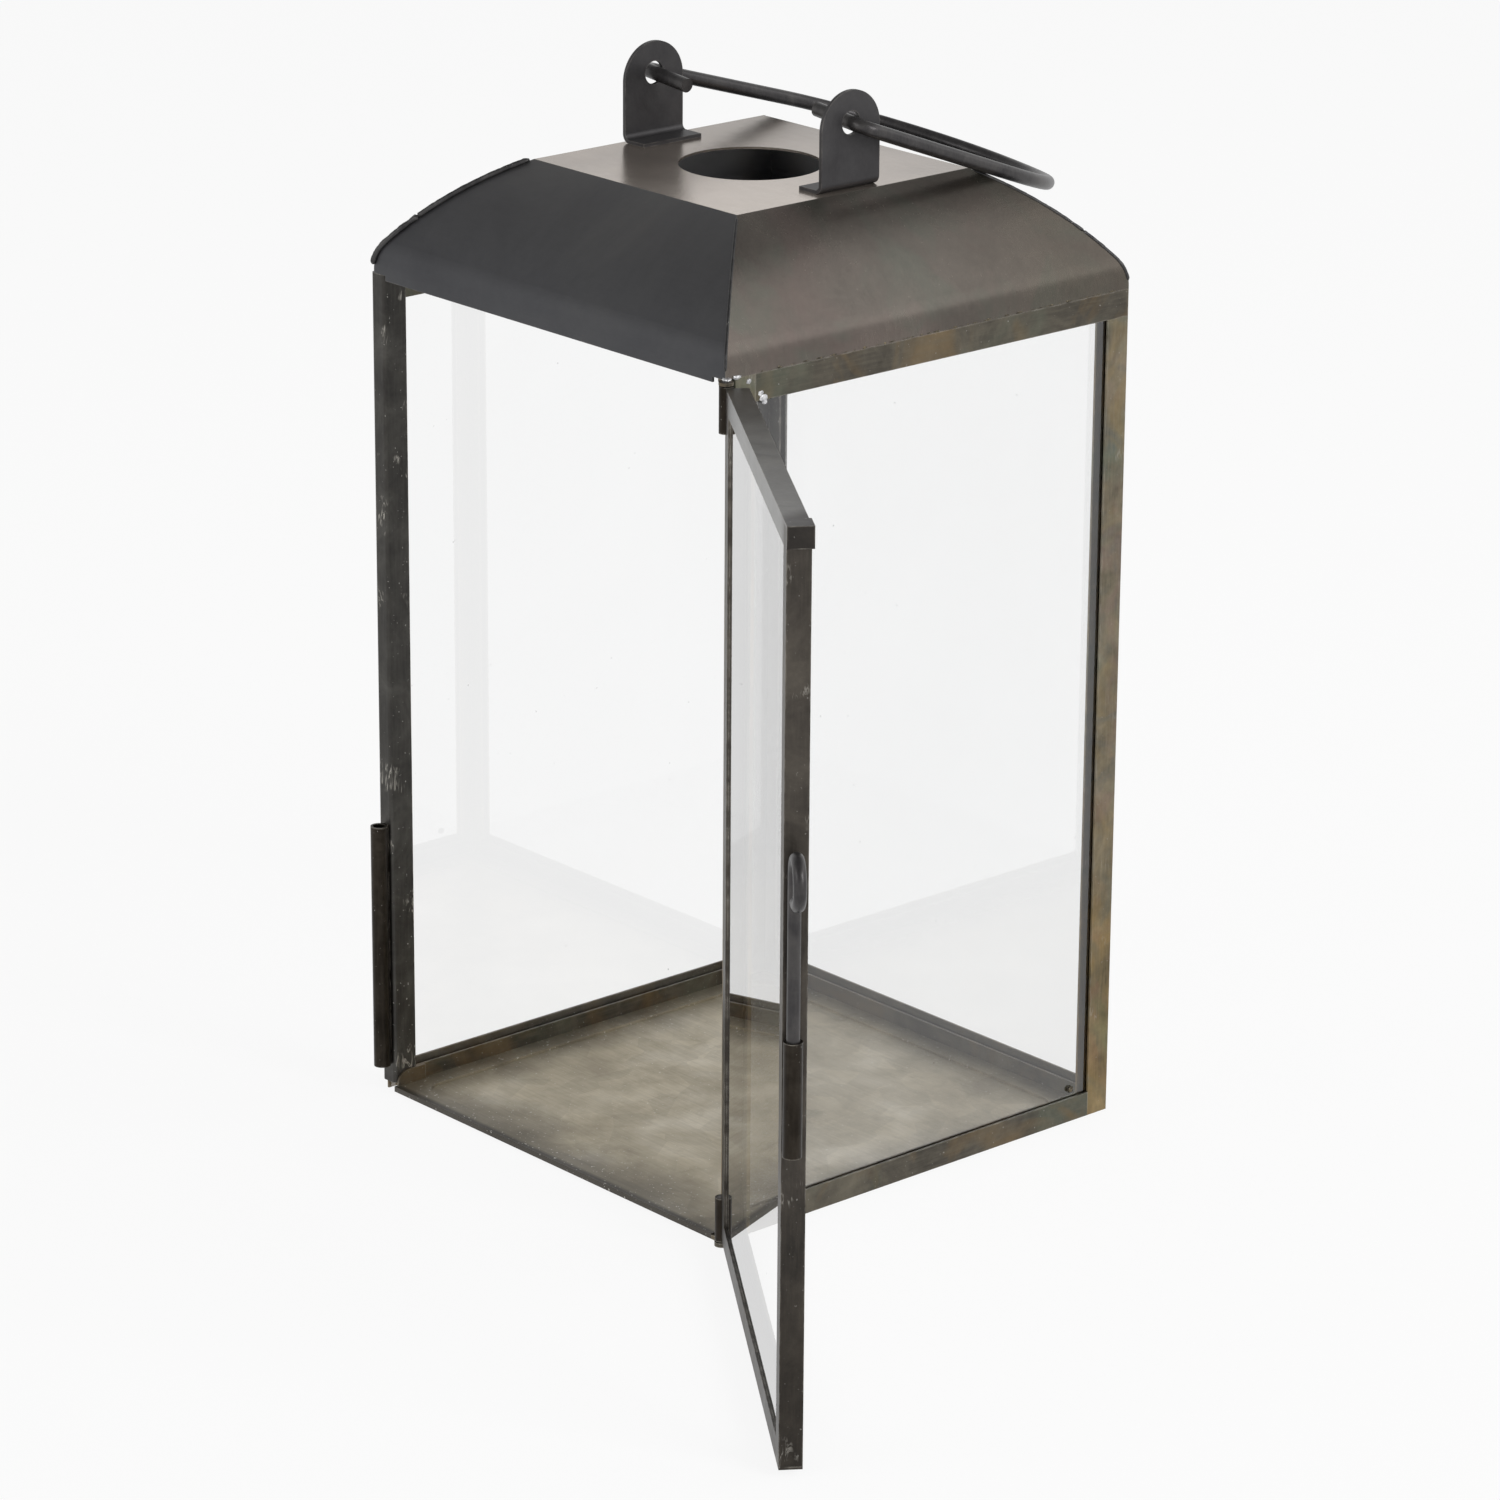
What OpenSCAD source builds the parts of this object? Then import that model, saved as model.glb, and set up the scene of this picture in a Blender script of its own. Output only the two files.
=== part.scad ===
// Sheet-metal candle lantern: four curved roof panels with a flat vented top, three glass
// sides, a glass door on two pin hinges with a drop-pin latch, and a wire bail in two ears.
// Origin: centre of the underside of the body. The door side faces -Y, +Z is up.

/* [Body] */
// Width and depth of the body over the side panels
body_w = 140; // [110:1:180]
// Height of the lower edge of the roof
eave_z = 231; // [160:1:300]
// Height of the flat top above the eaves
roof_h = 31.4; // [26:0.2:36]
// Thickness of the sheet metal
sheet = 0.6; // [0.5:0.05:0.8]
// Thickness of the glass
glass_t = 2; // [1.6:0.1:2.4]
// Clearance between a pane and each wall of its channel
glass_play = 0.3; // [0.1:0.05:0.5]
// Gap between a pane's edge and the web of its channel
glass_edge_gap = 0.4; // [0.2:0.1:1]

/* [Channels] */
// Width of the outer flange of a corner post
post_flange = 7.2; // [6:0.1:9]
// Width of the lip of a back post inside the corner
post_lip = 4.4; // [3:0.1:5.5]
// Width of the inner flange of the front right post
front_post_lip = 5.4; // [4:0.1:7]
// Width of the front left post
left_post_w = 5.6; // [5.4:0.1:6.5]
// Distance of the front left post beyond the side of the body
left_post_out = 1.4; // [1.1:0.1:1.5]
// Outside radius of the folds of a front post
fold_r = 1.1; // [0.8:0.1:1.4]
// Height of the outer flange of a bottom rail
rail_flange = 6.8; // [5:0.1:9]
// Height of the inner flange of a bottom rail
rail_lip = 5.8; // [4:0.1:8]
// Height of the top rails
top_rail_h = 7.2; // [6:0.1:9]
// Height of the lower end of the front left post
left_post_z = 2.4; // [0:0.1:5]
// Set-back of the front right post behind the front edge
right_post_setback = 2.8; // [2.3:0.1:4]
// Length of the left bottom rail's inner flange beside the front left post
lap_len = 9.6; // [8.5:0.1:14]
// Corner radius of that flange's end
lap_r = 3.6; // [2:0.1:4]

/* [Tray] */
// Height of the tray's border
tray_h = 1.5; // [1.2:0.1:3]
// Depth of the recess in the tray
tray_recess = 0.7; // [0.3:0.1:1]
// Width of the border round the recess
tray_border = 5.8; // [4:0.1:12]
// Corner radius of the recess
tray_corner_r = 5; // [2:0.5:12]

/* [Roof] */
// Half width of the flat top
top_half = 40; // [34:0.5:44]
// Radius of the vent hole
vent_r = 19; // [10:0.5:22]
// Height of the upright lip at the eaves
eave_lip = 1; // [0.5:0.1:3]
// Radius of the bend above the eaves
eave_r = 12; // [8:0.5:18]
// Angle of the bend above the eaves
eave_turn = 38; // [30:1:42]
// Drop of the front panel's drip edge below the eaves
drip_drop = 1.4; // [0.5:0.1:2]
// Gap between the drip edge's ends and the front posts
drip_gap = 0.6; // [0.3:0.1:4]

/* [Ears] */
// Width of an ear
ear_w = 20; // [17:0.5:24]
// Height of an ear above the flat top
ear_h = 26; // [22:0.5:32]
// Thickness of an ear
ear_t = 1; // [0.8:0.1:1.4]
// Length of the foot of an ear
ear_foot = 8.5; // [6:0.5:11]
// Outside radius of the bend of an ear
ear_bend_r = 2.4; // [1.6:0.1:3.5]
// Height of the pivot hole above the flat top
ear_hole_h = 17.5; // [14:0.5:20]
// Radius of the pivot hole
ear_hole_r = 3.1; // [2.9:0.1:3.8]
// Distance of the left ear from the edge of the flat top
ear_inset_left = 0.4; // [0.2:0.1:2]
// Distance of the right ear from the edge of the flat top
ear_inset_right = 1.6; // [0.2:0.1:3]

/* [Bail] */
// Diameter of the bail's wire
bail_d = 3.8; // [3:0.1:4]
// Gap between the outer ear and the bail's leg
bail_gap = 2.3; // [1.9:0.1:8]
// Length from the pivot to the start of the round end
bail_leg = 52; // [45:1:80]
// Radius of the bend at each pivot, along the middle of the wire
bail_bend_r = 4; // [3:0.1:4]
// Length of each straight stub beyond its bend
bail_stub = 15; // [8:0.5:18]
// Roll of the hand-bent loop out of the plane of the pivots
bail_roll = 5; // [0:0.5:5]
// Height of the lowered bail's wire above the edge of the flat top
bail_rest_h = 3.9; // [3.7:0.1:7]

/* [Door] */
// Thickness of the door's channels
door_t = 5.8; // [4.5:0.1:6.5]
// Width of the flanges of the door's channels
door_flange = 6; // [5:0.1:8]
// Height of the door's lower edge
door_z = 2; // [1.5:0.1:4]
// Distance of the door's upper edge below the eaves, on the hinge side
door_top_gap = 1.3; // [1.3:0.1:3]
// Rise of the door's upper edge toward the latch side
door_rise = 5.4; // [0:0.1:6]
// Height of the cap on the door's upper free corner
cap_h = 5.4; // [3:0.1:9]
// Gap between the closed door and the body
door_gap = 0.3; // [0.2:0.05:0.6]
// Opening angle of the door as it stands
door_open = 144.5; // [0:0.5:190]

/* [Hinge] */
// Distance of the hinge axis beyond the side of the body
hinge_out = 0.9; // [0.6:0.1:1.4]
// Distance of the hinge axis in front of the body
hinge_front = 0.5; // [0.3:0.05:0.6]
// Diameter of the hinge pins
rod_d = 2; // [1.6:0.1:2.2]
// Radial clearance of the pins in the knuckles
rod_play = 0.08; // [0.04:0.01:0.1]
// Wall of the knuckles
knuckle_wall = 0.72; // [0.6:0.02:0.8]
// Length of each knuckle
knuckle_len = 12; // [6:0.5:30]
// Distance from the door's hinge edge to the hinge axis
stile_to_axis = 1.5; // [1.3:0.05:1.6]
// Thickness of the lower hinge lug
lug_t = 1.2; // [0.8:0.1:1.5]
// Thickness of the upper hinge lug
top_lug_t = 0.8; // [0.6:0.1:0.8]
// Radius of the round end of each lug
lug_r = 1.9; // [1.6:0.1:2]
// Gap between a knuckle and its lug
lug_gap = 0.3; // [0.2:0.05:0.5]

/* [Latch] */
// Diameter of the drop pin
pin_d = 3.2; // [2.8:0.1:3.4]
// Radial clearance of the pin in its tubes
pin_play = 0.08; // [0.04:0.01:0.1]
// Wall of the latch tubes
latch_wall = 0.62; // [0.5:0.02:0.8]
// Gap between the door's latch tube and the post
latch_gap = 0.3; // [0.2:0.05:0.5]
// Height of the keeper's lower end
keeper_z = 8; // [4:0.5:20]
// Length of the keeper
keeper_len = 69.7; // [40:0.1:70]
// Height of the lower end of the latch tube on the door
latch_z = 83.2; // [79:0.1:95]
// Length of the latch tube on the door
latch_len = 28.7; // [15:0.1:30]
// Height of the raised pin's lower end above the latch tube's lower end
pin_inset = 1.3; // [0.5:0.1:5]
// Length of the pin's shank up to the middle of its loop
pin_shank = 68.4; // [60:0.1:75]
// Radius of the pin's loop, along the middle of the wire
loop_r = 5.4; // [5:0.1:7]
// Angle that the pin's loop turns through
loop_turn = 285; // [200:5:285]
// Width of the solder under each latch tube
solder_w = 1.8; // [1:0.1:2]

/* [Hidden] */
$fn = 64;

// Half width of the body, and the middle of its channels
half = body_w / 2;
frame_t = 2 * sheet + 2 * glass_play + glass_t;
// Inner faces of the side panels
inner = half - frame_t;
// Height of the flat top, and of the bottom of the top rails
top_z = eave_z + roof_h;
top_rail_z = eave_z - top_rail_h;
// Front face of the set-back post, and of the right panel
right_front_y = -half + right_post_setback;
// Sides of the front left post
left_post_x = -half - left_post_out;
left_post_in = left_post_x + left_post_w;
// Half length of the drip edge
drip_half = -left_post_in - drip_gap;

// Hinge axis, the radii round it, and the outer ends of the two knuckles
hinge_x = half + hinge_out;
hinge_y = -half - hinge_front;
knuckle_bore_r = rod_d / 2 + rod_play;
knuckle_r = knuckle_bore_r + knuckle_wall;
knuckle_z = lug_t + lug_gap;
knuckle_top = eave_z - top_lug_t - lug_gap;

// Closed door: its faces and edges
door_in_y = -half - door_gap;
door_out_y = door_in_y - door_t;
door_top = eave_z - door_top_gap;
latch_bore_r = pin_d / 2 + pin_play;
latch_r = latch_bore_r + latch_wall;
// The latch tubes stand in line with the middle of the left panel's channels
latch_x = -half + frame_t / 2;
latch_y = -half - latch_gap - latch_r;
door_free_x = latch_x + latch_r;
door_hinge_x = hinge_x - stile_to_axis;
pin_z = latch_z + pin_inset;
loop_z = pin_z + pin_shank;

// Roof profile: two arcs with a common tangent, from the eaves to the flat top
arc1 = [half - eave_r, eave_z + eave_lip];
slope_low = 90 - eave_turn;
bend_end = arc1 + eave_r * [sin(slope_low), cos(slope_low)];
roof_run = bend_end[0] - top_half;
roof_rise = top_z - bend_end[1];
slope_top = 2 * atan2(roof_rise, roof_run) - slope_low;
slope_r = roof_run / (sin(slope_low) - sin(slope_top));
arc2 = bend_end - slope_r * [sin(slope_low), cos(slope_low)];

// Pivot of the bail: the middle of the ears' holes
pivot_z = top_z + ear_hole_h;
// Radius of the bail's round end along the middle of its wire, and its reach from the pivot
bail_r = top_half - min(ear_inset_left, ear_inset_right) + bail_gap + bail_d / 2;
bail_reach = bail_leg + bail_r;
// Slope of the lowered bail
bail_tilt = atan2(ear_hole_h - bail_rest_h, top_half);
// Each stub crosses the pivot axis in the middle of its ear
ear_mid = top_half - (ear_inset_left + ear_inset_right + ear_t) / 2;
stub_offset = (bail_r - ear_mid) * sin(bail_roll);
bail_twist = asin((bail_r * sin(bail_roll) - stub_offset) / (bail_reach * cos(bail_roll)));

// Extra length of a cutting shape beyond the solid that it cuts
cut = 1;
far = 400;

// ---------------------------------------------------------------- helpers

// Box from its lower corner to its upper corner
module block(lo, hi) {
    translate(lo)
        cube(hi - lo);
}

// Round rod or bore along Z
module rod(x, y, z0, z1, r) {
    translate([x, y, z0])
        cylinder(h = z1 - z0, r = r);
}

// Turns a shape from the right side (+X) to another side of the body
module side(angle) {
    rotate([0, 0, angle])
        children();
}

// Plan prism between the two diagonals, on the +X side
module quadrant() {
    linear_extrude(height = far)
        polygon([[0, 0], [half + cut, -half - cut], [half + cut, half + cut]]);
}

// Rectangle from corner to corner
module rect(x0, y0, x1, y1) {
    translate([x0, y0])
        square([x1 - x0, y1 - y0]);
}

// ---------------------------------------------------------------- body channels

// Bottom rail on the +X side, between the posts' flanges and lips
module bottom_rail(out0, out1, in0, in1) {
    color("#4a453f") {
        block([inner, max(out0, in0), 0], [half, min(out1, in1), sheet]);
        block([half - sheet, out0, 0], [half, out1, rail_flange]);
        block([inner, in0, 0], [inner + sheet, in1, rail_lip]);
    }
}

// Front end of the left bottom rail's inner flange, lapped past the inner side of the post
module rail_lap() {
    y0 = sheet - half;
    y1 = y0 + lap_len;
    corner = min(lap_r, rail_lip - tray_h - sheet);
    color("#4a453f") {
        translate([left_post_in, 0, 0])
            rotate([90, 0, 90])
                linear_extrude(height = sheet) {
                    intersection() {
                        translate([y0 + corner, rail_lip - corner])
                            circle(r = corner);
                        rect(y0, rail_lip - corner, y0 + corner, rail_lip);
                    }
                    rect(y0, tray_h, y1, rail_lip - corner);
                    rect(y0 + corner, rail_lip - corner, y1, rail_lip);
                }
        block([-inner, post_flange - half, tray_h], [left_post_in + sheet, y1, rail_lip]);
    }
}

// Section of a back corner post; the outer corner is at the origin
module back_post_section() {
    rect(0, 0, sheet, post_flange);
    rect(0, 0, post_flange, sheet);
    rect(frame_t - sheet, frame_t - sheet, frame_t, frame_t + post_lip);
    rect(frame_t - sheet, frame_t - sheet, frame_t + post_lip, frame_t);
    rect(0, frame_t - sheet, frame_t, frame_t);
    rect(frame_t - sheet, 0, frame_t, frame_t);
}

module back_post(mirrored) {
    color("#46413b")
        mirror([mirrored ? 1 : 0, 0, 0])
            translate([half, half, 0])
                rotate([0, 0, 180])
                    linear_extrude(height = top_rail_z)
                        back_post_section();
}

// Section of a front post: a channel that opens toward +Y, its outer face along x = 0
module front_post_section(width, lip) {
    difference() {
        union() {
            rect(fold_r, 0, width - fold_r, sheet);
            rect(0, fold_r, sheet, post_flange);
            rect(width - sheet, fold_r, width, lip);
            for (x = [fold_r, width - fold_r])
                translate([x, fold_r])
                    circle(r = fold_r);
        }
        for (x = [fold_r, width - fold_r])
            translate([x, fold_r])
                circle(r = fold_r - sheet);
        rect(fold_r, sheet, width - fold_r, 2 * fold_r + cut);
        rect(sheet, fold_r, width - sheet, 2 * fold_r + cut);
    }
}

// Top rail on the +X side, from y0 to the mitre at the back corner
module top_rail(y0, y1) {
    color("#4a453f")
        intersection() {
            union() {
                block([inner, y0, eave_z - sheet], [half, y1, eave_z]);
                block([half - sheet, y0, top_rail_z], [half, y1, eave_z]);
                block([inner, y0, top_rail_z], [inner + sheet, y1, eave_z]);
            }
            quadrant();
        }
}

// Pane on the +X side, standing on the web of its bottom rail
module pane(y0, y1) {
    color([0.8, 0.86, 0.86, 0.35])
        block([half - sheet - glass_play - glass_t, y0, sheet],
            [half - sheet - glass_play, y1, eave_z - sheet - glass_edge_gap]);
}

// Back end of a pane, clear of the web of the back post
pane_back = inner - glass_edge_gap;

module base_tray() {
    recess = inner - tray_border - tray_corner_r;
    color("#8a857b")
        difference() {
            block([-inner, -half, 0], [inner, inner, tray_h]);
            for (x = [-recess, recess], y = [tray_corner_r + tray_border - half, recess])
                rod(x, y, tray_h - tray_recess, tray_h + cut, tray_corner_r);
            block([-recess - tray_corner_r, tray_border - half + tray_corner_r, tray_h - tray_recess],
                [recess + tray_corner_r, recess, tray_h + cut]);
            block([-recess, tray_border - half, tray_h - tray_recess],
                [recess, recess + tray_corner_r, tray_h + cut]);
        }
}

module rail_bottom_right() {
    bottom_rail(right_front_y + post_flange, half - post_flange,
        right_front_y + front_post_lip, inner - post_lip);
}

module rail_bottom_back() {
    side(90)
        bottom_rail(post_flange - half, half - post_flange, post_lip - inner, inner - post_lip);
}

module rail_bottom_left() {
    mirror([1, 0, 0])
        bottom_rail(sheet - half, half - post_flange, post_flange - half, inner - post_lip);
    rail_lap();
}

module post_front_left() {
    color("#3c3a38")
        translate([left_post_x, -half, left_post_z])
            linear_extrude(height = eave_z - left_post_z)
                front_post_section(left_post_w, post_flange);
}

module post_front_right() {
    color("#46413b")
        translate([half, right_front_y, 0])
            mirror([1, 0, 0])
                linear_extrude(height = eave_z)
                    front_post_section(frame_t, front_post_lip);
}

module post_back_left() {
    back_post(true);
}

module post_back_right() {
    back_post(false);
}

module rail_top_right() {
    top_rail(right_front_y + post_flange, half);
}

module rail_top_back() {
    side(90)
        top_rail(-half, half);
}

// The outer flange of the left rail runs on to the front of its post
module rail_top_left() {
    mirror([1, 0, 0])
        top_rail(post_flange - half, half);
    color("#4a453f")
        block([-half, sheet - half, top_rail_z], [sheet - half, post_flange - half, eave_z]);
}

module glass_right() {
    pane(right_front_y + sheet + glass_edge_gap, pane_back);
}

module glass_back() {
    side(90)
        pane(-pane_back, pane_back);
}

module glass_left() {
    mirror([1, 0, 0])
        pane(-half + sheet + glass_edge_gap, pane_back);
}

// ---------------------------------------------------------------- roof

// Area under the roof's curve, with the curve moved in by inset
module under_roof(inset) {
    reach = 2 * slope_r;
    intersection() {
        translate(arc2)
            circle(r = slope_r - inset, $fn = 180);
        translate(arc2)
            polygon([[0, 0], reach * [sin(slope_low), cos(slope_low)],
                reach * [sin(slope_top / 2), cos(slope_top / 2)]]);
    }
    intersection() {
        translate(arc1)
            circle(r = eave_r - inset, $fn = 180);
        rect(arc1[0], arc1[1], half, top_z);
    }
    rect(arc1[0], eave_z - cut, half - inset, arc1[1]);
}

// Roof profile: the distance from the middle runs along X, the height along Y
module roof_profile() {
    intersection() {
        difference() {
            under_roof(0);
            under_roof(sheet);
        }
        rect(top_half, eave_z, half, top_z + cut);
    }
}

// One roof panel on the +X side, mitred along both hips
module roof_panel() {
    intersection() {
        translate([0, half, 0])
            rotate([90, 0, 0])
                linear_extrude(height = body_w)
                    roof_profile();
        quadrant();
    }
}

module roof_panel_front() {
    color("#2e3136") {
        side(-90)
            roof_panel();
        block([-drip_half, -half, eave_z - drip_drop], [drip_half, sheet - half, eave_z]);
    }
}

module roof_panel_right() {
    color("#35302c")
        roof_panel();
}

module roof_panel_back() {
    color("#2e3136")
        side(90)
            roof_panel();
}

module roof_panel_left() {
    color("#2e3136")
        side(180)
            roof_panel();
}

module roof_top() {
    color("#6a6560")
        difference() {
            block([-top_half, -top_half, top_z - sheet], [top_half, top_half, top_z]);
            rod(0, 0, top_z - sheet - cut, top_z + cut, vent_r);
        }
}

// ---------------------------------------------------------------- ears and bail

// Section of an ear: an upright with a foot that runs toward the middle
module ear_section() {
    rect(-ear_t, ear_bend_r, 0, ear_h);
    rect(-ear_foot, 0, -ear_bend_r, ear_t);
    intersection() {
        translate([-ear_bend_r, ear_bend_r])
            difference() {
                circle(r = ear_bend_r);
                circle(r = ear_bend_r - ear_t);
            }
        rect(-ear_bend_r, 0, 0, ear_bend_r);
    }
}

// Ear with its outer face at x = outer
module ear(outer) {
    color("#4b4b4d")
        difference() {
            intersection() {
                translate([outer, ear_w / 2, top_z])
                    rotate([90, 0, 0])
                        linear_extrude(height = ear_w)
                            ear_section();
                translate([0, 0, top_z])
                    rotate([90, 0, 90])
                        linear_extrude(height = half) {
                            translate([0, ear_h - ear_w / 2])
                                circle(r = ear_w / 2);
                            rect(-ear_w / 2, 0, ear_w / 2, ear_h - ear_w / 2);
                        }
            }
            translate([0, 0, pivot_z])
                rotate([0, 90, 0])
                    cylinder(h = half, r = ear_hole_r);
        }
}

module ear_left() {
    mirror([1, 0, 0])
        ear(top_half - ear_inset_left);
}

module ear_right() {
    ear(top_half - ear_inset_right);
}

// Half of the bail, flat: from the end of the loop at the origin to the tip of its stub
module bail_half() {
    translate([0, -bail_r, 0])
        rotate_extrude(angle = 90, $fn = 96)
            translate([bail_r, 0])
                circle(d = bail_d);
    translate([bail_r, -bail_r, 0])
        rotate([90, 0, 0])
            cylinder(h = bail_leg - bail_bend_r, d = bail_d);
    translate([bail_r - bail_bend_r, bail_bend_r - bail_reach, 0])
        rotate([0, 0, -90])
            rotate_extrude(angle = 90)
                translate([bail_bend_r, 0])
                    circle(d = bail_d);
    translate([bail_r - bail_bend_r - bail_stub, -bail_reach, 0])
        rotate([0, 90, 0])
            cylinder(h = bail_stub, d = bail_d);
}

module bail_handle() {
    color("#4b4b4d")
        translate([0, 0, pivot_z])
            rotate([-bail_tilt, 0, 0])
                for (turn = [0, 180])
                    rotate([0, turn, 0])
                        translate([0, bail_reach, 0])
                            rotate([0, bail_roll, 0])
                                rotate([-bail_twist, 0, 0])
                                    bail_half();
}

// ---------------------------------------------------------------- hinge

// Swings a shape from the closed door to the door as it stands
module on_door() {
    translate([hinge_x, hinge_y, 0])
        rotate([0, 0, door_open])
            translate([-hinge_x, -hinge_y, 0])
                children();
}

// Lug from z0 to z1 with the seat of its pin: a plate from x0 to the axis, and a tongue to the post
module hinge_lug(x0, z0, z1) {
    color("#46413b")
        difference() {
            union() {
                rod(hinge_x, hinge_y, z0, z1, lug_r);
                block([x0, -half, z0], [hinge_x, hinge_y + lug_r, z1]);
                block([inner + fold_r, -half, z0], [half - fold_r, right_front_y, z1]);
            }
            rod(hinge_x, hinge_y, z0 - cut, z1 + cut, rod_d / 2);
        }
}

// The lower lug reaches the side of the tray
module hinge_lug_bottom() {
    hinge_lug(inner, 0, lug_t);
}

module hinge_lug_top() {
    hinge_lug(inner + fold_r, eave_z - top_lug_t, eave_z);
}

module hinge_pin_bottom() {
    color("#6b675f")
        rod(hinge_x, hinge_y, 0, knuckle_z + knuckle_len, rod_d / 2);
}

module hinge_pin_top() {
    color("#6b675f")
        rod(hinge_x, hinge_y, knuckle_top - knuckle_len, eave_z, rod_d / 2);
}

// Knuckle on the hinge axis, from z0 up
module knuckle(z0) {
    color("#46413b")
        on_door()
            difference() {
                rod(hinge_x, hinge_y, z0, z0 + knuckle_len, knuckle_r);
                rod(hinge_x, hinge_y, z0 - cut, z0 + knuckle_len + cut, knuckle_bore_r);
            }
}

module hinge_knuckle_bottom() {
    knuckle(knuckle_z);
}

module hinge_knuckle_top() {
    knuckle(knuckle_top - knuckle_len);
}

// ---------------------------------------------------------------- door

// Height of the door's sloping upper edge at x
function door_top_at(x) = door_top + door_rise * (door_hinge_x - x) / (door_hinge_x - door_free_x);

// Upright prism of the door from lo to hi in plan, between its outlines over x
module door_prism(lo, hi, z_lo, z_hi) {
    translate([0, hi[1], 0])
        rotate([90, 0, 0])
            linear_extrude(height = hi[1] - lo[1])
                polygon([[lo[0], z_lo[0]], [hi[0], z_lo[1]], [hi[0], z_hi[1]], [lo[0], z_hi[0]]]);
}

// Piece of the door from the level z up to a distance under the upper edge
module door_upright(lo, hi, z, under) {
    door_prism(lo, hi, [z, z], [door_top_at(lo[0]) - under, door_top_at(hi[0]) - under]);
}

// Strip along the upper edge, between two distances under it
module door_strip(lo, hi, upper, lower) {
    door_prism(lo, hi, [door_top_at(lo[0]) - lower, door_top_at(hi[0]) - lower],
        [door_top_at(lo[0]) - upper, door_top_at(hi[0]) - upper]);
}

// Upright channel between the rails' webs: its web from web[0] to web[1], its flanges over span
module stile(web, span) {
    door_upright([web[0], door_out_y], [web[1], door_in_y], door_z + sheet, sheet);
    for (y = [door_out_y, door_in_y - sheet])
        door_upright([span[0], y], [span[1], y + sheet], door_z + sheet, sheet);
}

// Ends of the door's flanges where the stiles meet the rails
rail_x0 = door_free_x + door_flange;
rail_x1 = door_hinge_x - door_flange;

// Room for both knuckles on the door's hinge edge
module knuckle_room() {
    rod(hinge_x, hinge_y, 0, knuckle_z + knuckle_len, knuckle_r);
    rod(hinge_x, hinge_y, knuckle_top - knuckle_len, eave_z, knuckle_r);
}

module door_stile_hinge() {
    color("#55504a")
        on_door()
            difference() {
                stile([door_hinge_x - sheet, door_hinge_x], [rail_x1, door_hinge_x]);
                knuckle_room();
            }
}

module door_stile_free() {
    color("#55504a")
        on_door()
            stile([door_free_x, door_free_x + sheet], [door_free_x, rail_x0]);
}

// Cap folded down from the top rail over the door's upper free corner
module corner_cap() {
    corner = [door_free_x - sheet, door_out_y - sheet];
    door_strip(corner, [door_free_x, door_in_y], 0, cap_h);
    door_strip(corner, [rail_x0 + sheet, door_out_y], 0, cap_h);
}

// The web runs over both stiles
module door_rail_top() {
    color("#55504a")
        on_door() {
            difference() {
                door_strip([door_free_x, door_out_y], [door_hinge_x, door_in_y], 0, sheet);
                knuckle_room();
            }
            for (y = [door_out_y, door_in_y - sheet])
                door_strip([rail_x0, y], [rail_x1, y + sheet], 0, door_flange);
            corner_cap();
        }
}

module door_rail_bottom() {
    color("#55504a")
        on_door() {
            difference() {
                block([door_free_x, door_out_y, door_z], [door_hinge_x, door_in_y, door_z + sheet]);
                knuckle_room();
            }
            for (y = [door_out_y, door_in_y - sheet])
                block([rail_x0, y, door_z], [rail_x1, y + sheet, door_z + door_flange]);
        }
}

// The pane lies against the inner flanges and stands on the web of the bottom rail
module door_glass() {
    edge = sheet + glass_edge_gap;
    lo = [door_free_x + edge, door_in_y - sheet - glass_t];
    hi = [door_hinge_x - edge, door_in_y - sheet];
    color([0.8, 0.86, 0.86, 0.35])
        on_door()
            door_upright(lo, hi, door_z + sheet, edge);
}

// ---------------------------------------------------------------- latch

// Tube of the latch with a strip of solder under it, from lo to hi in plan
module soldered_tube(z0, len, lo, hi) {
    difference() {
        union() {
            rod(latch_x, latch_y, z0, z0 + len, latch_r);
            translate([lo[0], lo[1], z0])
                cube([hi[0] - lo[0], hi[1] - lo[1], len]);
        }
        rod(latch_x, latch_y, z0 - cut, z0 + len + cut, latch_bore_r);
    }
}

module keeper_tube() {
    color("#4a453f")
        soldered_tube(keeper_z, keeper_len, [latch_x - solder_w / 2, latch_y],
            [latch_x + solder_w / 2, -half]);
}

module latch_tube() {
    color("#4a453f")
        on_door()
            soldered_tube(latch_z, latch_len, [latch_x, latch_y - solder_w / 2],
                [door_free_x, latch_y + solder_w / 2]);
}

module latch_pin() {
    color("#6b675f")
        on_door() {
            rod(latch_x, latch_y, pin_z, loop_z, pin_d / 2);
            translate([latch_x - loop_r, latch_y, loop_z])
                rotate([90, 0, 0])
                    rotate_extrude(angle = loop_turn)
                        translate([loop_r, 0])
                            circle(d = pin_d);
        }
}

base_tray();
rail_bottom_left();
rail_bottom_back();
rail_bottom_right();
post_front_left();
post_back_left();
post_back_right();
post_front_right();
rail_top_left();
rail_top_back();
rail_top_right();
glass_left();
glass_back();
glass_right();
roof_panel_front();
roof_panel_right();
roof_panel_back();
roof_panel_left();
roof_top();
ear_left();
ear_right();
keeper_tube();
hinge_lug_bottom();
hinge_lug_top();
hinge_pin_bottom();
hinge_pin_top();
door_stile_hinge();
door_stile_free();
door_rail_top();
door_rail_bottom();
door_glass();
hinge_knuckle_bottom();
hinge_knuckle_top();
latch_tube();
latch_pin();
bail_handle();
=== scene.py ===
import math

import bmesh
import bpy
from mathutils import Matrix, Vector, noise


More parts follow.
